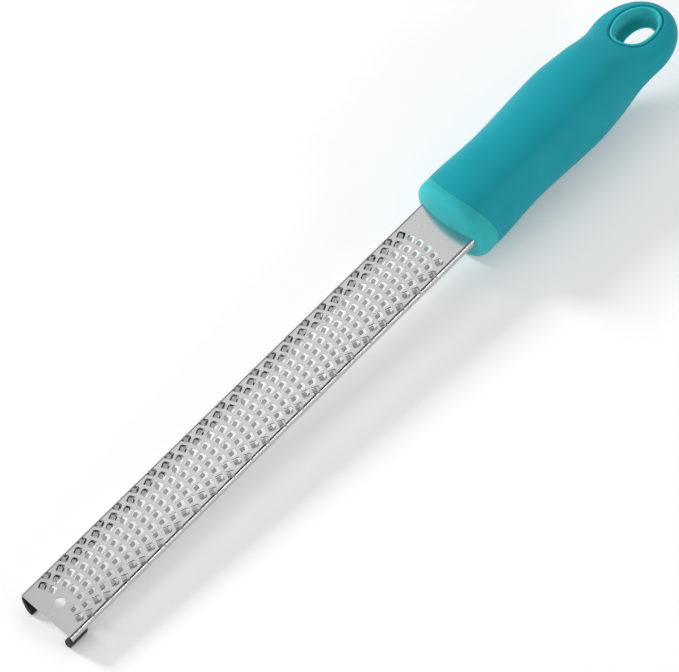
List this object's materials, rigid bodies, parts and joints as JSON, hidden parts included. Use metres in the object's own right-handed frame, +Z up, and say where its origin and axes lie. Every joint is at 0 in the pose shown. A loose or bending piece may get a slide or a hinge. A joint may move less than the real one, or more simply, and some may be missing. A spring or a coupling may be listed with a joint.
{
  "type": "rasp zester",
  "caption": "Hand rasp zester: a narrow etched steel channel blade with raised teeth, a soft contoured handle with a hang hole, and small rubber feet at the tip.",
  "frame": {"origin": "under the middle of the whole tool, at the level of the handle's underside", "axes": "+X along the tool from the blade's tip to the handle's end, +Y across it, +Z up out of the toothed face"},
  "size_m": [0.318, 0.0338, 0.0316],
  "materials": {
    "stainless": "fine brushed stainless steel",
    "core_plastic": "light teal hard plastic, satin",
    "grip_rubber": "teal soft-touch rubber, smooth and matt",
    "foot_rubber": "black rubber, matt"
  },
  "bodies": {
    "root": {"blade": "stainless", "handle_core": "core_plastic", "soft_grip": "grip_rubber", "left_foot": "foot_rubber", "right_foot": "foot_rubber"}
  },
  "joints": []
}
